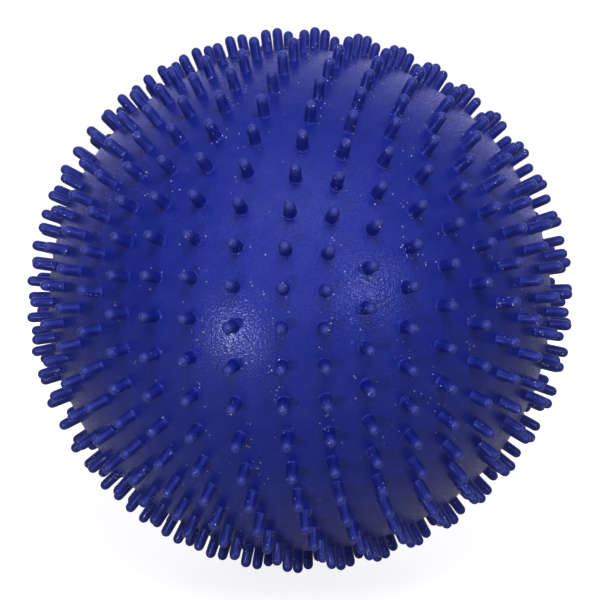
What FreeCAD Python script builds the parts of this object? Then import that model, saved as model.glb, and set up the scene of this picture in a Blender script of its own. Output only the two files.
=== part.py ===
import FreeCAD, Part
import math
import os
from FreeCAD import Vector

# Massage ball: a hollow ball of soft PVC whose skin carries rings of moulded pins, blown up
# through a stoppered valve.
# Millimetres and degrees, +Z up, origin at the centre of the ball.
# The rings of pins run round the X axis. The mould parts at X = 0, and the valve is at the -X pole.
# Latitude is the angle from the parting plane, longitude the angle round X from the front, -Y.

# ---- ball and pins ----
tip_diameter = 200.0          # across the tips of opposite pins
pin_length = 8.0              # how far a pin stands out of the skin
pin_root_diameter = 4.0
pin_tip_diameter = 3.5
pin_sides = 6                 # a round pin drawn with six flats, because there are hundreds
wall = 2.0                    # skin of the blown-up ball

# ---- rings of pins, as angles seen from the centre ----
first_ring = 4.35             # latitude of the rings beside the parting line
ring_pitch = 8.05             # from one ring to the next
pin_pitch = 7.7               # from pin to pin along a ring
rows_in_line = 3              # rings from the parting line whose pins stand in straight rows
blind_half_gap = 1.4          # extra space after the first ring of the half without a valve
blind_half_clocking = 2.3     # longitude of the front row on each half
valve_half_clocking = 3.5

# ---- valve ----
seat_diameter = 12.0          # moulded-in valve seat
seat_depth = 10.0             # from the skin's outside to the seat's inner end
collar_diameter = 15.0        # collar that keys the seat into the boss
collar_thickness = 1.6
collar_inset = 5.0            # from the skin's outside to the collar's outer face
bore_mouth_diameter = 6.0     # the bore narrows inwards and the stopper wedges in it
bore_inner_diameter = 5.0
boss_wall = 2.2               # soft PVC round the seat
land_margin = 1.5             # bare skin between the valve and the first pins
stopper_head_diameter = 10.0
stopper_head_thickness = 1.2
stopper_nose = 2.0            # how far the stopper's nose stands out of the seat, inside the ball
stopper_core_diameter = 2.2   # blind hole up the shank, which lets it squeeze into the bore
head_round = 0.4
notch_diameter = 6.0          # scoop beside the head for a fingernail
notch_reach = 1.6             # how far the scoop reaches past the head's rim

# ---- clearances ----
bore_clearance = 0.06         # radial, stopper shank in the seat
head_clearance = 0.35         # radial, stopper head in its recess
head_seating = 0.1            # under the stopper head

# ---- worked out from the above ----
tip_radius = tip_diameter / 2
skin_radius = tip_radius - pin_length
cavity_radius = skin_radius - wall
pin_root_sink = wall / 2
recess_radius = stopper_head_diameter / 2 + head_clearance
recess_depth = stopper_head_thickness + head_seating
seat_inner_x = -(skin_radius - seat_depth)
collar_x = -(skin_radius - collar_inset)
boss_radius = collar_diameter / 2 + boss_wall
land_radius = boss_radius + land_margin
bore_taper = (bore_mouth_diameter - bore_inner_diameter) / 2 / (seat_depth - recess_depth)
# The skin curves away from the pole, so the recess floor is set from the skin at the recess rim.
recess_floor_x = -(math.sqrt(skin_radius ** 2 - recess_radius ** 2) - recess_depth)

ORIGIN = Vector(0, 0, 0)
X_AXIS = Vector(1, 0, 0)
Z_AXIS = Vector(0, 0, 1)


def turned(points):
    """Solid of revolution about X from (x, radius) points, closed along the axis."""
    outline = [Vector(x, radius, 0) for x, radius in points]
    face = Part.Face(Part.makePolygon(outline + outline[:1]))
    return face.revolve(ORIGIN, X_AXIS, 360)


def cylinder(radius, x_from, x_to):
    """Cylinder about X between two places along it."""
    return Part.makeCylinder(radius, x_to - x_from, Vector(x_from, 0, 0), X_AXIS)


def tapered_pin():
    """One pin standing out along -Y, from the middle of the wall to its tip."""
    def flats(radius, height):
        turns = [2 * math.pi * side / pin_sides for side in range(pin_sides)]
        return [Vector(radius * math.cos(t), -height, radius * math.sin(t)) for t in turns]

    root = flats(pin_root_diameter / 2, skin_radius - pin_root_sink)
    tip = flats(pin_tip_diameter / 2, tip_radius)
    outlines = [root, tip]
    for side in range(pin_sides):
        after = (side + 1) % pin_sides
        outlines.append([root[side], root[after], tip[after], tip[side]])
    faces = [Part.Face(Part.makePolygon(points + points[:1])) for points in outlines]
    pin = Part.Solid(Part.Shell(faces))
    return pin if pin.Volume > 0 else pin.reversed()


def pins_in_ring(latitude):
    """How many pins go round a ring at this latitude."""
    return max(1, round(360 * math.cos(math.radians(latitude)) / pin_pitch))


def ring_latitudes(extra_gap):
    """Latitudes of one half's rings, from the parting line to the pole."""
    latitudes = [first_ring]
    while latitudes[-1] + ring_pitch < 90:
        gap = extra_gap if len(latitudes) == 1 else 0
        latitudes.append(latitudes[-1] + ring_pitch + gap)
    return [latitude for latitude in latitudes if latitude < 90]


def half_of_pins(side, extra_gap, clocking, bare_radius=0.0):
    """All pins on one side of the parting plane, apart from those within bare_radius of the pole."""
    pin = tapered_pin()
    pins = []
    for ring, latitude in enumerate(ring_latitudes(extra_gap)):
        if skin_radius * math.cos(math.radians(latitude)) - pin_root_diameter / 2 < bare_radius:
            continue
        in_line = ring < rows_in_line
        count = pins_in_ring(first_ring if in_line else latitude)
        stagger = 0.0 if in_line or ring % 2 == 0 else 0.5
        for number in range(count):
            longitude = clocking + 360 * (number + stagger) / count
            placed = pin.copy()
            placed.rotate(ORIGIN, Z_AXIS, side * latitude)
            placed.rotate(ORIGIN, X_AXIS, -longitude)
            pins.append(placed)
    return pins


def half_skin(side, pins):
    """One moulded half: half a hollow ball with its pins grown out of it."""
    pole = Vector(side, 0, 0)
    outside = Part.makeSphere(skin_radius, ORIGIN, pole, 0, 90, 360)
    return outside.multiFuse(pins).cut(Part.makeSphere(cavity_radius, ORIGIN, pole))


def seat_body():
    """The valve seat's outside, with the collar that keys it into the boss."""
    barrel = cylinder(seat_diameter / 2, recess_floor_x, seat_inner_x)
    collar = cylinder(collar_diameter / 2, collar_x, collar_x + collar_thickness)
    return barrel.fuse(collar)


def tapered_shank(clearance, x_from, x_to):
    """Taper of the valve bore between two places along X, made smaller all round by a clearance."""
    def radius(x):
        return bore_mouth_diameter / 2 - bore_taper * (x - recess_floor_x) - clearance

    return turned([(x_from, 0), (x_from, radius(x_from)), (x_to, radius(x_to)), (x_to, 0)])


def make_valve_seat():
    """Harder PVC bush, open right through, whose tapered bore holds the stopper."""
    past = 1.0
    return seat_body().cut(tapered_shank(0, recess_floor_x - past, seat_inner_x + past))


def make_skin():
    """The one-piece soft skin: both halves, the valve boss inside, and the recess for the stopper."""
    blind = half_skin(1, half_of_pins(1, blind_half_gap, blind_half_clocking))
    valved = half_skin(-1, half_of_pins(-1, 0.0, valve_half_clocking, land_radius))
    boss = cylinder(boss_radius, -cavity_radius, seat_inner_x)
    boss = boss.common(Part.makeSphere(skin_radius - pin_root_sink))
    recess = cylinder(recess_radius, -tip_radius, recess_floor_x)
    notch = Part.makeSphere(notch_diameter / 2)
    notch.translate(Vector(recess_floor_x - notch_diameter / 2 + head_seating, 0,
                           stopper_head_diameter / 2 + notch_reach - notch_diameter / 2))
    valved = valved.fuse(boss).cut(recess.fuse([notch, seat_body()]))
    return blind.fuse(valved)


def make_stopper():
    """Pull-out stopper: flat head with a rounded rim and a tapered, cored shank."""
    under_head_x = recess_floor_x - head_seating
    nose_x = seat_inner_x + stopper_nose
    head = cylinder(stopper_head_diameter / 2, under_head_x - stopper_head_thickness, under_head_x)
    rim = [edge for edge in head.Edges if isinstance(edge.Curve, Part.Circle)]
    head = head.makeFillet(head_round, rim)
    core = cylinder(stopper_core_diameter / 2, under_head_x, nose_x)
    return head.fuse(tapered_shank(bore_clearance, under_head_x, nose_x)).cut(core)


def main():
    os.makedirs("parts", exist_ok=True)
    parts = {
        "pinned_skin": make_skin(),
        "valve_seat": make_valve_seat(),
        "stopper": make_stopper(),
    }
    for name, shape in parts.items():
        solid = shape.Solids[0] if len(shape.Solids) == 1 else shape
        print(name, "solids", len(shape.Solids), "valid", shape.isValid(),
              "volume cm3 %.2f" % (shape.Volume / 1000))
        solid.exportStep("parts/%s.step" % name)


main()
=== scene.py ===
# %% [markdown]
# # A massage ball with moulded pins
# This lesson dresses a hollow ball of soft PVC, 200 mm across its pin tips. The solid model
# already holds its pieces: the skin with its pins, the valve seat and the stopper.
# Blender could start from nothing, but then the looks and the solids would drift apart.
# So the solid model is loaded first, and what is made here is placed by its sizes.

# %% Load the solid model
import math

import bmesh
import bpy
from mathutils import Matrix, Vector


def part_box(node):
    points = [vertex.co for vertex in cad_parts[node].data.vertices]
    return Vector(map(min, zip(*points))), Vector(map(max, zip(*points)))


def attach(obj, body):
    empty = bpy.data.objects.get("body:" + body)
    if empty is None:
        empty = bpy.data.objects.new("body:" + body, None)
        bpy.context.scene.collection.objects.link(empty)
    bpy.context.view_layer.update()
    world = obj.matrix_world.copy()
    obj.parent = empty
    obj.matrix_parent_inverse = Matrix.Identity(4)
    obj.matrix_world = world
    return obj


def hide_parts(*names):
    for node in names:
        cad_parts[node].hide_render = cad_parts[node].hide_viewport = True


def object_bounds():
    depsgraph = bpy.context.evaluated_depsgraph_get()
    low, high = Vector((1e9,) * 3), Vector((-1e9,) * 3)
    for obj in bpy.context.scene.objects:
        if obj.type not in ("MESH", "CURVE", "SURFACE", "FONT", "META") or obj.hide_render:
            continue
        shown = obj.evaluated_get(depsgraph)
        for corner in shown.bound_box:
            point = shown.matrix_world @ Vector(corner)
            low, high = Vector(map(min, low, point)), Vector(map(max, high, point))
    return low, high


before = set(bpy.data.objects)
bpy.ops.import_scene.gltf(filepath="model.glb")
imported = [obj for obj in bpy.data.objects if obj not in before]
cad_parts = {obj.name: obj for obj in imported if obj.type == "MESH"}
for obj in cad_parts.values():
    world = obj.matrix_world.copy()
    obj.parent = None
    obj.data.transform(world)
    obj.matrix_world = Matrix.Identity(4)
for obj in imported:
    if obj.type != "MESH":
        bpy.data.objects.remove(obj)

cad_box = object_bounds()
print("solid model's box, mm:", [round(1000 * side, 1) for corner in cad_box for side in corner])

# %% [markdown]
# ## The sizes that everything follows
# A moulder's drawing of this ball has few sizes: the ball, its wall, one pin, and the angles
# between the rings of pins. Everything else follows from them. The rings run round the X axis.
# Latitude is the angle from the mould's parting plane at X = 0, and longitude the angle round X,
# from the front, -Y. The valve is at the -X pole, and its sizes are read from the solid model.

# %% Driving sizes, in metres and degrees
MM = 0.001
tip_radius = 100 * MM
skin_radius = 92 * MM
cavity_radius = 90 * MM
same_place = 0.01 * MM          # corners closer than this to a place count as lying there
weld_distance = 0.001 * MM      # corners closer than this to each other become one

first_ring = 4.35               # latitude of the rings beside the parting line
ring_pitch = 8.05
pin_pitch = 7.7                 # from pin to pin along a ring
rows_in_line = 3                # rings on each side whose pins stand in straight rows
blind_half_gap = 1.4            # extra space after the first ring of the half with no valve
blind_half_clocking = 2.3       # longitude of each half's front row
valve_half_clocking = 3.5

seat_low, seat_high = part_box("valve_seat")
_, stopper_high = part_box("stopper")
print("valve seat from", round(seat_low.x / MM, 2), "to", round(seat_high.x / MM, 2), "mm")

# %% [markdown]
# ## The camera
# The ball is seen from a little above level and from 17 degrees round towards its blind pole,
# about half a metre from its centre. A longer lens from further back would flatten the fan of
# pins, so the distance comes first, and the focal length is worked out to fill the frame.

# %% Camera
camera_azimuth = 17.3
camera_elevation = 7.5
camera_distance = 5.61 * skin_radius
share_of_frame = 0.912          # the ball's width over the frame's width


def from_camera_side(azimuth, elevation):
    """Direction from the ball towards a place at this azimuth and elevation, in degrees."""
    turn, tilt = math.radians(azimuth), math.radians(elevation)
    level = math.cos(tilt)
    return Vector((math.sin(turn) * level, -math.cos(turn) * level, math.sin(tilt)))


towards_camera = from_camera_side(camera_azimuth, camera_elevation)
camera_data = bpy.data.cameras.new("camera")
camera = bpy.data.objects.new("camera", camera_data)
bpy.context.scene.collection.objects.link(camera)
camera.location = towards_camera * camera_distance
camera.rotation_euler = (-towards_camera).to_track_quat("-Z", "Y").to_euler()
outline_slope = math.tan(math.asin(tip_radius / camera_distance))
camera_data.lens = camera_data.sensor_width / 2 * share_of_frame / outline_slope
camera_data.clip_start = 0.01
bpy.context.scene.camera = camera
print("lens", round(camera_data.lens, 1), "mm at", round(camera_distance, 3), "m")

# %% [markdown]
# ## One pin and the patch of skin round it
# On the real ball the pins aren't stuck on: they are bored into the mould, so they fill with
# PVC and grow out of the skin through a small fillet. Separate pins pushed into a ball would
# cross its surface with a hard line. Here one patch of skin is made instead, and its middle is
# extruded step by step: fillet, shank, then a domed tip. Twelve sides keep it light, because
# there are hundreds, and they line up with the corners and sides of the patch.

# %% Patch of skin with its pin
NEAR_PIN = "near_pin"           # 1 at a pin's root and on the pin, falling to 0 between pins
pin_sides = 12
fillet_radius = 2.4 * MM        # where the fillet leaves the skin
pin_steps = [                   # radius and height above the skin of each step
    (1.93 * MM, 0.45 * MM),
    (1.84 * MM, 6.16 * MM),
    (1.59 * MM, 7.08 * MM),
    (0.92 * MM, 7.75 * MM),
]


def on_ball(latitude, longitude, radius):
    """Point at a latitude and longitude in degrees, at a radius from the ball's centre."""
    up, round_x = math.radians(latitude), math.radians(longitude)
    out = math.cos(up)
    return radius * Vector((math.sin(up), -out * math.cos(round_x), out * math.sin(round_x)))


def step_to(verts, radius, height):
    """Moves corners to a radius from the pin's axis and a height above the ball's centre."""
    for vert in verts:
        outward = Vector((vert.co.x, vert.co.y, 0)).normalized() * radius
        vert.co = (outward.x, outward.y, height)


def skin_patch(bm, lower, latitude, upper, half_width):
    """One pin at a latitude, on a patch of skin that reaches half_width degrees to each side."""
    near_pin = bm.verts.layers.float.get(NEAR_PIN) or bm.verts.layers.float.new(NEAR_PIN)
    turned = Matrix.Rotation(math.pi / pin_sides, 4, "Z")
    circle = bmesh.ops.create_circle(bm, cap_ends=True, segments=pin_sides, radius=1,
                                     matrix=turned)
    corners = circle["verts"]
    cap = corners[0].link_faces[0]
    border = bmesh.ops.extrude_edge_only(bm, edges=list(cap.edges))["geom"]
    border = [item for item in border if isinstance(item, bmesh.types.BMVert)]

    step_to(corners, fillet_radius, math.sqrt(skin_radius ** 2 - fillet_radius ** 2))
    pin = list(corners)
    for radius, height in pin_steps:
        cap = bmesh.ops.extrude_discrete_faces(bm, faces=[cap])["faces"][0]
        step_to(cap.verts, radius, skin_radius + height)
        pin += cap.verts
    tip = bmesh.ops.poke(bm, faces=[cap])["verts"][0]
    tip.co = (0, 0, tip_radius)
    stand_up = Matrix.Rotation(math.pi / 2, 4, "X")
    to_latitude = Matrix.Rotation(math.radians(latitude), 4, "Z")
    pin.append(tip)
    bmesh.ops.transform(bm, matrix=to_latitude @ stand_up, verts=pin)
    for vert in pin:
        vert[near_pin] = 1

    for vert in border:
        across, along, _ = vert.co / max(abs(vert.co.x), abs(vert.co.y))
        reach = upper - latitude if across > 0 else latitude - lower
        vert.co = on_ball(latitude + across * reach, along * half_width, skin_radius)
    return pin + border


trial = bmesh.new()
skin_patch(trial, -2, 0, 2, 2)
print("one patch and pin:", len(trial.faces), "faces")
trial.free()

# %% [markdown]
# ## Rings of pins
# Each ring is one patch spun round the X axis, as an indexing head would step the cutter that
# bores the mould. Near the parting line every ring has as many pins as the first, so they stand
# in straight rows. Further up the ball narrows, the rings hold fewer pins, and every second ring
# is shifted by half a step. A short strip of skin is bridged between neighbouring rings, because
# their patches differ in number.

# %% Where the rings lie
strip = 0.6                     # degrees, half the width of the strips between rings
blind_pole_gap = 0.6            # degrees, half the width of the small patch at the blind pole
valve_land_edge = 80.6          # latitude where the bare skin round the valve begins


def ring_latitudes(extra_gap):
    """Latitudes of one half's rings, from the parting line to the pole."""
    latitudes = [first_ring]
    while latitudes[-1] + ring_pitch < 90:
        gap = extra_gap if len(latitudes) == 1 else 0
        latitudes.append(latitudes[-1] + ring_pitch + gap)
    return [latitude for latitude in latitudes if latitude < 90]


def pins_in_ring(latitude):
    """How many pins go round a ring at this latitude."""
    return max(1, round(360 * math.cos(math.radians(latitude)) / pin_pitch))


def half_rings(extra_gap, clocking, last_edge):
    """Lower edge, latitude, upper edge, pins and first longitude of each ring up to last_edge."""
    latitudes = [latitude for latitude in ring_latitudes(extra_gap) if latitude < last_edge]
    middles = [(low + high) / 2 for low, high in zip(latitudes, latitudes[1:])]
    lowers = [strip] + [middle + strip for middle in middles]
    uppers = [middle - strip for middle in middles] + [last_edge]
    rings = []
    for number, (lower, latitude, upper) in enumerate(zip(lowers, latitudes, uppers)):
        in_line = number < rows_in_line
        count = pins_in_ring(first_ring if in_line else latitude)
        stagger = 0 if in_line or number % 2 == 0 else 0.5
        rings.append((lower, latitude, upper, count, clocking + 360 * stagger / count))
    return rings


blind_rings = half_rings(blind_half_gap, blind_half_clocking, 90 - blind_pole_gap)
valve_rings = half_rings(0, valve_half_clocking, valve_land_edge)
pin_count = sum(ring[3] for ring in blind_rings + valve_rings)
print("rings:", len(blind_rings), "and", len(valve_rings), "with", pin_count, "pins")

# %% Spin a patch into a ring, and bridge the rings


def add_ring(bm, side, lower, latitude, upper, count, longitude):
    """Adds a ring of pins and returns its open edges, the ones nearer the parting line first."""
    ends = sorted((side * lower, side * upper))
    made = skin_patch(bm, ends[0], side * latitude, ends[1], 180 / count)
    turn = Matrix.Rotation(math.radians(-longitude), 4, "X")
    bmesh.ops.transform(bm, matrix=turn, verts=made)
    faces = list({face for vert in made for face in vert.link_faces})
    edges = list({edge for face in faces for edge in face.edges})
    step = 2 * math.pi / count
    bmesh.ops.spin(bm, geom=made + edges + faces, cent=(0, 0, 0), axis=(1, 0, 0),
                   angle=step * (count - 1), steps=count - 1, use_duplicate=True)
    open_verts = list({vert for edge in bm.edges if edge.is_boundary for vert in edge.verts})
    bmesh.ops.remove_doubles(bm, verts=open_verts, dist=weld_distance)
    return open_edges(bm, side * lower), open_edges(bm, side * upper)


def open_edges(bm, latitude):
    """The ring of open edges that lies at a latitude."""
    x = skin_radius * math.sin(math.radians(latitude))
    return [edge for edge in bm.edges
            if edge.is_boundary and all(abs(vert.co.x - x) < same_place for vert in edge.verts)]


ball = bmesh.new()
ball.verts.layers.float.new(NEAR_PIN)
ring_edges = {}
for side, rings in ((1, blind_rings), (-1, valve_rings)):
    previous = None
    for ring in rings:
        near, far = add_ring(ball, side, *ring)
        if previous is None:
            ring_edges[side, "first"] = near
        else:
            bmesh.ops.bridge_loops(ball, edges=previous + near)
        previous = far
    ring_edges[side, "last"] = previous
bmesh.ops.bridge_loops(ball, edges=ring_edges[1, "first"] + ring_edges[-1, "first"])
pole_patch = bmesh.ops.contextual_create(ball, geom=ring_edges[1, "last"])["faces"]
pole = bmesh.ops.poke(ball, faces=pole_patch)["verts"][0]
pole.co = (skin_radius, 0, 0)
print("skin and pins:", len(ball.faces), "faces,",
      sum(edge.is_boundary for edge in ball.edges), "open edges left for the valve")

# %% [markdown]
# ## The valve end and the inside
# At the other pole the skin is bare. A shallow recess takes the stopper's head, and under it a
# thick boss holds the firmer valve seat by its collar. The skin's inside follows from the same
# section. All of it is round, so the section is drawn once as a line of points and spun, and its
# outer end is bridged to the last ring of pins: the skin is then one closed piece, as moulded.

# %% Section of the valve end and the wall
land_radius = 12.5 * MM         # where the spun part takes over from the rings
recess_clearance = 0.35 * MM
lip_round = 0.25 * MM           # soft edge of the recess
collar_inset = 5.0 * MM
collar_thickness = 1.6 * MM
barrel_radius = 6.0 * MM
boss_wall = 2.2 * MM
land_steps = 9
land_crowding = 1.5             # over 1, the land's steps get closer towards the lip
wall_steps = 28
spin_steps = 72

recess_radius = stopper_high.z + recess_clearance
boss_radius = seat_high.z + boss_wall


def skin_x(radius):
    """Where the skin's outside is along X, at a distance from the X axis on the valve's side."""
    return -math.sqrt(skin_radius ** 2 - radius ** 2)


def valve_section():
    """The section as (x, distance from the X axis), from the bare skin to the far inner pole."""
    lip_radius = recess_radius + lip_round
    section = []
    for step in range(land_steps + 1):
        outwards = (1 - step / land_steps) ** land_crowding
        radius = lip_radius + (land_radius - lip_radius) * outwards
        section.append((skin_x(radius), radius))
    lip_x = skin_x(lip_radius) + lip_round
    for angle in (30, 60, 90):
        turn = math.radians(angle)
        along, across = lip_round * math.cos(turn), lip_round * math.sin(turn)
        section.append((lip_x - along, lip_radius - across))
    collar_x = -(skin_radius - collar_inset)
    section += [
        (seat_low.x, recess_radius),
        (seat_low.x, barrel_radius),
        (collar_x, barrel_radius),
        (collar_x, seat_high.z),
        (collar_x + collar_thickness, seat_high.z),
        (collar_x + collar_thickness, barrel_radius),
        (seat_high.x, barrel_radius),
        (seat_high.x, boss_radius),
    ]
    start = math.asin(boss_radius / cavity_radius)
    for step in range(wall_steps + 1):
        angle = start + (math.pi - start) * step / wall_steps
        section.append((-cavity_radius * math.cos(angle), cavity_radius * math.sin(angle)))
    return section


points = [ball.verts.new((x, 0, radius)) for x, radius in valve_section()]
lines = [ball.edges.new(pair) for pair in zip(points, points[1:])]
bmesh.ops.spin(ball, geom=points + lines, cent=(0, 0, 0), axis=(1, 0, 0),
               angle=2 * math.pi, steps=spin_steps, use_merge=True)
bmesh.ops.remove_doubles(ball, verts=ball.verts[:], dist=weld_distance)
land_edges = [edge for edge in ball.edges if edge.is_boundary]
bmesh.ops.bridge_loops(ball, edges=land_edges)
bmesh.ops.recalc_face_normals(ball, faces=ball.faces[:])
print("whole skin:", len(ball.faces), "faces, open edges:",
      sum(not edge.is_manifold for edge in ball.edges),
      "volume cm3:", round(ball.calc_volume() * 1e6, 1))

# %% [markdown]
# ## A scoop for a fingernail
# A nail needs a way under the flush head of the stopper, so one side of the recess is scooped
# out. A boolean could cut it, but the soft lip there has enough corners to be pressed down on
# to a small ball instead, which keeps the mesh in clean quads.

# %% Press the scoop into the lip
scoop_radius = 3.0 * MM
scoop_reach = 1.6 * MM          # past the stopper head's rim
scoop_past_floor = 0.1 * MM     # how much deeper it goes than the recess floor
scoop_x = seat_low.x - scoop_radius + scoop_past_floor
scoop_centre = Vector((scoop_x, 0, stopper_high.z + scoop_reach - scoop_radius))
pressed = 0
for vert in ball.verts:
    offset = vert.co - scoop_centre
    across = math.hypot(offset.y, offset.z)
    outside_recess = math.hypot(vert.co.y, vert.co.z) > recess_radius - same_place
    above_floor = vert.co.x < seat_low.x - same_place
    if outside_recess and above_floor and across < scoop_radius:
        floor_x = scoop_centre.x + math.sqrt(scoop_radius ** 2 - across ** 2)
        if vert.co.x < floor_x:
            vert.co.x = floor_x
            pressed += 1
print("corners pressed into the scoop:", pressed)

# %% [markdown]
# ## Smooth shading that keeps the ball round
# Smooth shading averages the faces that meet at a corner. At the foot of a pin that would tilt
# the shading of the skin round it, and every pin would stand on a soft dent. The skin's own
# corners are told to face straight out from the ball's centre, and only the pins, the lip and
# the inside keep their averaged directions.

# %% Make the skin an object
skin_mesh = bpy.data.meshes.new("soft_skin")
ball.to_mesh(skin_mesh)
ball.free()
skin_mesh.shade_smooth()


def facing(vert):
    """Shading direction of a corner: straight out on the bare skin, averaged elsewhere."""
    on_skin = abs(vert.co.length - skin_radius) < same_place
    return vert.co.normalized() if on_skin else vert.normal


skin_mesh.normals_split_custom_set_from_vertices([facing(vert) for vert in skin_mesh.vertices])
skin = bpy.data.objects.new("soft_skin", skin_mesh)
bpy.context.scene.collection.objects.link(skin)
print("corners", len(skin_mesh.vertices),
      "triangles", sum(len(face.vertices) - 2 for face in skin_mesh.polygons))

# %% [markdown]
# ## Helpers for materials
# Colours are written as the hex values that a paint chart gives, and Blender works in linear
# light, so one function converts them. Another adds a node, sets it and wires it, which keeps
# each material short enough to read as a recipe. The Mix node has one set of sockets for
# numbers and one for colours, with the same names, so they are told apart by their numbers.

# %% Colour and node helpers
NUMBER_A, NUMBER_B = 2, 3                   # sockets of a Mix node that mixes numbers
COLOUR_A, COLOUR_B, COLOUR_OUT = 6, 7, 2    # and of one that mixes colours


def linear(hex_colour):
    """Linear RGBA of an sRGB hex colour such as "132389"."""
    channels = [int(hex_colour[place:place + 2], 16) / 255 for place in (0, 2, 4)]
    return [c / 12.92 if c <= 0.04045 else ((c + 0.055) / 1.055) ** 2.4 for c in channels] + [1]


def add_node(tree, kind, inputs=None, **settings):
    """Adds a node. Its inputs are values or other nodes' outputs, by socket name or number."""
    made = tree.nodes.new(kind)
    for name, value in settings.items():
        setattr(made, name, value)
    for name, value in (inputs or {}).items():
        if isinstance(value, bpy.types.NodeSocket):
            tree.links.new(value, made.inputs[name])
        else:
            made.inputs[name].default_value = value
    return made


def new_material(name, **surface):
    """A new material with its node tree and shader. Surface values go on the shader itself."""
    material = bpy.data.materials.new(name)
    material.use_nodes = True
    tree = material.node_tree
    tree.nodes.clear()
    values = {socket.replace("_", " "): value for socket, value in surface.items()}
    shader = add_node(tree, "ShaderNodeBsdfPrincipled", values)
    add_node(tree, "ShaderNodeOutputMaterial", {"Surface": shader.outputs["BSDF"]})
    return material, tree, shader


def per_metre(millimetres):
    """Texture scale that repeats about once in this many millimetres."""
    return 1 / (millimetres * MM)


print("deep blue in linear light:", [round(c, 3) for c in linear("132389")])

# %% [markdown]
# ## Soft PVC
# The skin is plasticised PVC, turned while it cools in a heated mould. Its deep blue pigment
# varies slowly over the ball. The pins' shanks are darkened with painted shade, and their tips
# paled with a painted highlight. The plasticiser brings a faint bloom to the surface, and dust
# gathers round the feet of the pins, where no cloth reaches. One image of the whole skin could
# hold all that, but it would blur close up, so the colours are mixed in that order from noises
# with real sizes.

# %% Pigment of the skin, with painted shade on the shanks and a painted highlight on the tips
cloud_size = 22                 # mm, slow changes in the pigment
skin_blues = linear("132389"), linear("192A92")
# Painted shade: the pins' shanks are coloured darker than the skin.
painted_shank_shade = linear("091A7C")
# Painted highlight: the pins' tips are coloured paler than the skin.
painted_tip_highlight = linear("36409A")
shank_starts, shank_full = 0.02, 0.2    # shares of the pin's length
tip_starts, tip_full = 0.5, 0.95

soft_pvc, tree, shader = new_material(
    "soft_pvc_moulded", IOR=1.53, Specular_Tint=(0.55, 0.61, 1.0, 1.0),
    Sheen_Weight=0.1, Sheen_Roughness=0.3, Sheen_Tint=(0.6, 0.55, 1.0, 1.0))
place = add_node(tree, "ShaderNodeTexCoord").outputs["Object"]
from_centre = add_node(tree, "ShaderNodeVectorMath", {0: place},
                       operation="LENGTH").outputs["Value"]
up_pin = add_node(tree, "ShaderNodeMapRange", {
    "Value": from_centre, "From Min": skin_radius, "From Max": tip_radius}).outputs["Result"]
near_pin = add_node(tree, "ShaderNodeAttribute", attribute_name=NEAR_PIN).outputs["Fac"]

cloud = add_node(tree, "ShaderNodeTexNoise", {
    "Vector": place, "Scale": per_metre(cloud_size), "Detail": 3}).outputs["Fac"]
skin_colour = add_node(tree, "ShaderNodeMix", {
    "Factor": cloud, COLOUR_A: skin_blues[0], COLOUR_B: skin_blues[1]},
    data_type="RGBA").outputs[COLOUR_OUT]
# Painted shade: the shanks darken just above the root. The same mask also makes them rougher.
shank = add_node(tree, "ShaderNodeMapRange", {
    "Value": up_pin, "From Min": shank_starts, "From Max": shank_full}).outputs["Result"]
shank_painted_shade_colour = add_node(tree, "ShaderNodeMix", {
    "Factor": shank, COLOUR_A: skin_colour, COLOUR_B: painted_shank_shade},
    data_type="RGBA").outputs[COLOUR_OUT]
# Painted highlight on the tips, growing towards their ends. The same mask also makes the tips
# glossier.
cap = add_node(tree, "ShaderNodeMapRange", {
    "Value": up_pin, "From Min": tip_starts, "From Max": tip_full}).outputs["Result"]
# Pigment with the shanks' painted shade and the tips' painted highlight mixed over it.
pigment_shade_and_highlight = add_node(tree, "ShaderNodeMix", {
    "Factor": cap, COLOUR_A: shank_painted_shade_colour, COLOUR_B: painted_tip_highlight},
    data_type="RGBA").outputs[COLOUR_OUT]
print("pigment of the soft PVC:", len(tree.nodes), "nodes so far")

# %% Bloom and dust over the pigment
bloom_size = 7                  # mm, patches of bloom
bloom_most = 0.07               # share of the colour where it is thickest
bloom_colour = linear("7A7FB8")
dust_spacing = 1.3              # mm between places where a speck can lie
dust_radius = 0.2               # share of that spacing
dust_core = 0.6                 # share of a speck's radius that is solid
dust_patch_size = 8             # mm, patches of skin that hold more dust than others
dust_at_feet = 0.15             # what a pin's foot adds to that
dust_least, dust_most = 0.02, 0.7   # share of the places that hold a speck
dust_colour = linear("E4E4F0")

bloom_noise = add_node(tree, "ShaderNodeTexNoise", {
    "Vector": place, "Scale": per_metre(bloom_size), "Detail": 4, "Roughness": 0.6}).outputs["Fac"]
bloom = add_node(tree, "ShaderNodeMapRange", {
    "Value": bloom_noise, "From Min": 0.45, "From Max": 0.8,
    "To Max": bloom_most}).outputs["Result"]
bloomed = add_node(tree, "ShaderNodeMix", {
    "Factor": bloom, COLOUR_A: pigment_shade_and_highlight, COLOUR_B: bloom_colour},
    data_type="RGBA").outputs[COLOUR_OUT]

specks = add_node(tree, "ShaderNodeTexVoronoi", {
    "Vector": place, "Scale": per_metre(dust_spacing)}).outputs
speck = add_node(tree, "ShaderNodeMapRange", {
    "Value": specks["Distance"], "From Min": dust_radius,
    "From Max": dust_radius * dust_core}).outputs["Result"]
patches = add_node(tree, "ShaderNodeTexNoise", {
    "Vector": place, "Scale": per_metre(dust_patch_size), "Detail": 1}).outputs["Fac"]
gathered = add_node(tree, "ShaderNodeMath", {0: near_pin, 1: dust_at_feet, 2: patches},
                    operation="MULTIPLY_ADD").outputs["Value"]
share = add_node(tree, "ShaderNodeMapRange", {
    "Value": gathered, "From Min": 0.53, "From Max": 0.85,
    "To Min": dust_least, "To Max": dust_most}).outputs["Result"]
chosen = add_node(tree, "ShaderNodeMath", {0: specks["Color"], 1: share},
                  operation="LESS_THAN").outputs["Value"]
dust = add_node(tree, "ShaderNodeMath", {0: speck, 1: chosen},
                operation="MULTIPLY").outputs["Value"]
dusty = add_node(tree, "ShaderNodeMix", {
    "Factor": dust, COLOUR_A: bloomed, COLOUR_B: dust_colour},
    data_type="RGBA").outputs[COLOUR_OUT]
print("with bloom and dust:", len(tree.nodes), "nodes")
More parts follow.
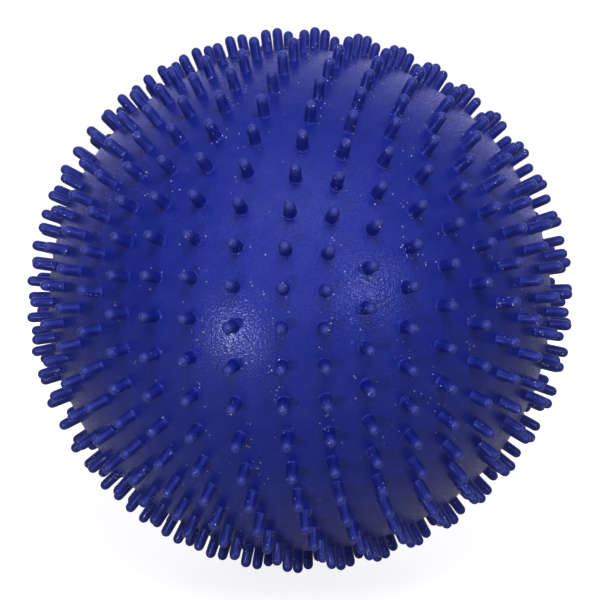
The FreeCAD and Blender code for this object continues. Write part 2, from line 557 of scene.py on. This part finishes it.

# %% [markdown]
# ## Grain and gloss
# The mould's blasted inside leaves a fine grain, which breaks the highlights into sparkles. One
# noise drives the bumps, the matt pits and a painted shade that darkens the pits, so that all
# three fall in the same places. The pins' sides are matt from being pulled out of their bores, and
# their tips are polished by use. The highlights and a weak sheen are tinted blue, because light
# goes a little way into this slightly translucent plastic before it comes back.

# %% Grain, pits and gloss
grain_size = 0.5                # mm; the real grain is finer, and this is as fine as still shows
grain_depth = 0.08 * MM
grain_on_pins = 0.35            # share of the skin's grain that is left on the pins
# Painted shade: the grain's pits are coloured a darker blue.
pit_shade = 0.45                # share of the darker blue in a pit
painted_pit_shade = linear("0C1560")
skin_roughness = 0.19
shank_roughness = 0.32
tip_roughness = 0.15
pit_roughness = 0.33            # added in the pits

grain = add_node(tree, "ShaderNodeTexNoise", {
    "Vector": place, "Scale": per_metre(grain_size), "Detail": 0}).outputs["Fac"]
pit = add_node(tree, "ShaderNodeMapRange", {
    "Value": grain, "From Min": 0.52, "From Max": 0.44}).outputs["Result"]
shade = add_node(tree, "ShaderNodeMath", {0: pit, 1: pit_shade},
                 operation="MULTIPLY").outputs["Value"]
# Painted shade mixed into the pits of the grain.
colour_with_pit_shade = add_node(tree, "ShaderNodeMix", {
    "Factor": shade, COLOUR_A: dusty, COLOUR_B: painted_pit_shade},
    data_type="RGBA").outputs[COLOUR_OUT]
tree.links.new(colour_with_pit_shade, shader.inputs["Base Color"])

on_skin = add_node(tree, "ShaderNodeMapRange", {
    "Value": up_pin, "From Max": 0.1, "To Min": 1, "To Max": grain_on_pins}).outputs["Result"]
bump = add_node(tree, "ShaderNodeBump", {
    "Height": grain, "Strength": on_skin, "Distance": grain_depth}).outputs["Normal"]
tree.links.new(bump, shader.inputs["Normal"])

shank_gloss = add_node(tree, "ShaderNodeMath", {
    0: shank, 1: shank_roughness - skin_roughness, 2: skin_roughness},
    operation="MULTIPLY_ADD").outputs["Value"]
gloss = add_node(tree, "ShaderNodeMath", {
    0: cap, 1: tip_roughness - shank_roughness, 2: shank_gloss},
    operation="MULTIPLY_ADD").outputs["Value"]
pitting = add_node(tree, "ShaderNodeMath", {0: on_skin, 1: pit_roughness},
                   operation="MULTIPLY").outputs["Value"]
matt = add_node(tree, "ShaderNodeMath", {0: pit, 1: pitting, 2: gloss},
                operation="MULTIPLY_ADD").outputs["Value"]
roughness = add_node(tree, "ShaderNodeMath", {0: matt, 1: dust},
                     operation="MAXIMUM").outputs["Value"]
tree.links.new(roughness, shader.inputs["Roughness"])
skin_mesh.materials.append(soft_pvc)
print("soft PVC:", len(tree.nodes), "nodes")

# %% [markdown]
# ## The valve's two plastics
# The seat is a firmer grade of the same blue PVC, injected into a polished mould, so it is
# smoother than the skin. The stopper is natural polyethylene, which is milky white and a little
# waxy. New meshes could stand for them too, but both are right as they are, so they keep the
# solid model's shape and only get their finish here.

# %% Firm PVC
firm_cloud_size = 4             # mm
firm_blues = linear("20277C"), linear("2A3190")

firm_pvc, tree, shader = new_material("firm_pvc_moulded", Roughness=0.35, IOR=1.53)
place = add_node(tree, "ShaderNodeTexCoord").outputs["Object"]
cloud = add_node(tree, "ShaderNodeTexNoise", {
    "Vector": place, "Scale": per_metre(firm_cloud_size), "Detail": 3}).outputs["Fac"]
colour = add_node(tree, "ShaderNodeMix", {
    "Factor": cloud, COLOUR_A: firm_blues[0], COLOUR_B: firm_blues[1]},
    data_type="RGBA").outputs[COLOUR_OUT]
tree.links.new(colour, shader.inputs["Base Color"])
print("firm PVC:", len(tree.nodes), "nodes")

# %% Natural polyethylene
wax_size = 2.5                  # mm, cloudy patches with slight waves
wave_depth = 0.1 * MM
milky_whites = linear("D6D5CB"), linear("E6E5DD")

polyethylene, tree, shader = new_material(
    "natural_polyethylene_moulded", Roughness=0.38, IOR=1.51,
    Subsurface_Weight=0.25, Subsurface_Scale=1 * MM)
place = add_node(tree, "ShaderNodeTexCoord").outputs["Object"]
cloud = add_node(tree, "ShaderNodeTexNoise", {
    "Vector": place, "Scale": per_metre(wax_size), "Detail": 4}).outputs["Fac"]
colour = add_node(tree, "ShaderNodeMix", {
    "Factor": cloud, COLOUR_A: milky_whites[0], COLOUR_B: milky_whites[1]},
    data_type="RGBA").outputs[COLOUR_OUT]
tree.links.new(colour, shader.inputs["Base Color"])
waves = add_node(tree, "ShaderNodeBump", {
    "Height": cloud, "Strength": 0.4, "Distance": wave_depth}).outputs["Normal"]
tree.links.new(waves, shader.inputs["Normal"])
print("polyethylene:", len(tree.nodes), "nodes")

# %% Finish the valve seat and the stopper
for node_name, material in (("valve_seat", firm_pvc), ("stopper", polyethylene)):
    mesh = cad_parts[node_name].data
    mesh.materials.clear()
    mesh.materials.append(material)
    print(node_name, "is finished in", material.name)

# %% [markdown]
# ## Floor and light
# The ball rests on a plain white floor in a white studio. A large soft box high in front hangs
# behind a polariser, so it lights the ball and leaves no highlight, and one like it stands
# behind. Two smaller ones give the two grainy highlights. The rest of the gloss is the cool room,
# bright near the camera, behind the ball and overhead. The pale rim is its back wall, which a
# smooth plastic mirrors at a glancing angle. Floor and room are turned up for the camera alone,
# the floor more so further off, so they come out white with no more light on the ball. The floor
# is turned up a little for reflections too.

# %% Floor
floor_size = 6                  # metres
fibre_size = 40                 # mm, slow changes in the paper's tone
floor_greys = linear("B4B4B4"), linear("BABABA")
near_white, far_white = 0.2, 1.0    # metres from the ball, between which the lift grows
near_lift, far_lift = 0.85, 1.0     # light added for the camera alone
mirrored_lift = 0.12                # and for reflections

bpy.ops.mesh.primitive_plane_add(size=floor_size, location=(0, 0, cad_box[0].z))
floor = bpy.context.object
floor.name = "floor"
paper, tree, shader = new_material("white_paper", Roughness=0.9,
                                   Emission_Color=(1.0, 1.0, 1.0, 1.0))
place = add_node(tree, "ShaderNodeTexCoord").outputs["Object"]
fibre = add_node(tree, "ShaderNodeTexNoise", {
    "Vector": place, "Scale": per_metre(fibre_size), "Detail": 2}).outputs["Fac"]
tone = add_node(tree, "ShaderNodeMix", {
    "Factor": fibre, COLOUR_A: floor_greys[0], COLOUR_B: floor_greys[1]},
    data_type="RGBA").outputs[COLOUR_OUT]
tree.links.new(tone, shader.inputs["Base Color"])
path = add_node(tree, "ShaderNodeLightPath").outputs
from_ball = add_node(tree, "ShaderNodeVectorMath", {0: place}, operation="LENGTH").outputs["Value"]
seen = add_node(tree, "ShaderNodeMapRange", {
    "Value": from_ball, "From Min": near_white, "From Max": far_white,
    "To Min": near_lift, "To Max": far_lift}).outputs["Result"]
mirrored = add_node(tree, "ShaderNodeMath", {0: path["Is Glossy Ray"], 1: mirrored_lift},
                    operation="MULTIPLY").outputs["Value"]
lift = add_node(tree, "ShaderNodeMath", {0: path["Is Camera Ray"], 1: seen, 2: mirrored},
                operation="MULTIPLY_ADD").outputs["Value"]
tree.links.new(lift, shader.inputs["Emission Strength"])
floor.data.materials.append(paper)
print("floor:", floor_size, "m square at z =", round(cad_box[0].z / MM, 1), "mm")

# %% White room
front_wall_side = 0.45          # levels that the ball mirrors, where 1 is white
front_wall_middle = 1.95
back_wall_level = 0.55
ceiling_level = 0.35
front_wall_height = 20          # degrees above level where the front wall is brightest
mirrored_tint = (0.54, 0.54, 1.0, 1.0)

world = bpy.data.worlds.new("white_room")
bpy.context.scene.world = world
world.use_nodes = True
tree = world.node_tree
tree.nodes.clear()
# Where each wall begins and ends is a cosine, of the angle from the camera's side or from up.
direction = add_node(tree, "ShaderNodeTexCoord").outputs["Generated"]
frontal = add_node(tree, "ShaderNodeVectorMath", {0: direction, 1: towards_camera},
                   operation="DOT_PRODUCT").outputs["Value"]
diffused = add_node(tree, "ShaderNodeMapRange", {
    "Value": frontal, "From Min": -0.3, "From Max": -0.9}).outputs["Result"]
near_camera = add_node(tree, "ShaderNodeVectorMath", {
    0: direction, 1: from_camera_side(camera_azimuth, front_wall_height)},
    operation="DOT_PRODUCT").outputs["Value"]
above = add_node(tree, "ShaderNodeVectorMath", {0: direction, 1: (0, 0, 1)},
                 operation="DOT_PRODUCT").outputs["Value"]
front_wall = add_node(tree, "ShaderNodeMapRange", {
    "Value": near_camera, "From Min": 0.3,
    "To Min": front_wall_side, "To Max": front_wall_middle},
    interpolation_type="SMOOTHSTEP").outputs["Result"]
back_wall = add_node(tree, "ShaderNodeMapRange", {
    "Value": frontal, "From Min": -0.05, "From Max": -0.6,
    "To Max": back_wall_level}).outputs["Result"]
ceiling = add_node(tree, "ShaderNodeMapRange", {
    "Value": above, "From Min": 0.3, "From Max": 0.9, "To Max": ceiling_level}).outputs["Result"]
walls = add_node(tree, "ShaderNodeMath", {0: front_wall, 1: back_wall}).outputs["Value"]
glossed = add_node(tree, "ShaderNodeMath", {0: walls, 1: ceiling}).outputs["Value"]
print("walls and ceiling:", len(tree.nodes), "nodes")

# %% What the room gives each kind of ray
path = add_node(tree, "ShaderNodeLightPath").outputs
mirrored = add_node(tree, "ShaderNodeMath", {
    0: path["Is Glossy Ray"], 1: path["Is Transmission Ray"]},
    operation="MAXIMUM").outputs["Value"]
lit = add_node(tree, "ShaderNodeMix", {
    "Factor": mirrored, NUMBER_A: diffused, NUMBER_B: glossed}).outputs["Result"]
level = add_node(tree, "ShaderNodeMix", {
    "Factor": path["Is Camera Ray"], NUMBER_A: lit, NUMBER_B: 1.0}).outputs["Result"]
tint = add_node(tree, "ShaderNodeMix", {
    "Factor": mirrored, COLOUR_A: (1.0, 1.0, 1.0, 1.0), COLOUR_B: mirrored_tint},
    data_type="RGBA").outputs[COLOUR_OUT]
room = add_node(tree, "ShaderNodeBackground", {"Color": tint, "Strength": level})
add_node(tree, "ShaderNodeOutputWorld", {"Surface": room.outputs["Background"]})
print("white room:", len(tree.nodes), "nodes")

# %% Soft boxes
white_light = (1.0, 1.0, 1.0)
cool_light = (0.88, 0.87, 1.0)


def soft_box(name, azimuth, elevation, distance, width, height, watts, colour):
    """A lamp that faces the ball, from an azimuth counted from the camera's, in degrees."""
    data = bpy.data.lights.new(name, "AREA")
    data.shape = "RECTANGLE"
    data.size = width
    data.size_y = height
    data.energy = watts
    data.color = colour
    lamp = bpy.data.objects.new(name, data)
    bpy.context.scene.collection.objects.link(lamp)
    towards = from_camera_side(camera_azimuth + azimuth, elevation)
    lamp.location = towards * distance
    lamp.rotation_euler = (-towards).to_track_quat("-Z", "Y").to_euler()
    lamp.visible_camera = False
    print(name, [round(c, 2) for c in lamp.location], "m")
    return lamp


polarised = [
    soft_box("front_soft_box", azimuth=4, elevation=46, distance=0.65,
             width=0.40, height=0.30, watts=2.5, colour=white_light),
    soft_box("back_soft_box", azimuth=180, elevation=8, distance=0.9,
             width=0.40, height=0.30, watts=3.0, colour=white_light),
]
for lamp in polarised:
    lamp.visible_glossy = False
soft_box("left_soft_box", azimuth=-25, elevation=-6, distance=0.55,
         width=0.08, height=0.078, watts=0.6, colour=cool_light)
soft_box("right_soft_box", azimuth=29, elevation=11, distance=1.1,
         width=0.28, height=0.24, watts=1.45, colour=cool_light)
bpy.context.scene.view_settings.view_transform = "Standard"

# %% [markdown]
# ## Which body carries what
# The new skin stands for the plain one and rides on the ball. The seat rides there already, and
# the stopper slides out along the valve on its own.

# %% Put the skin on the ball, and finish
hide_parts("pinned_skin")
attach(skin, "ball")
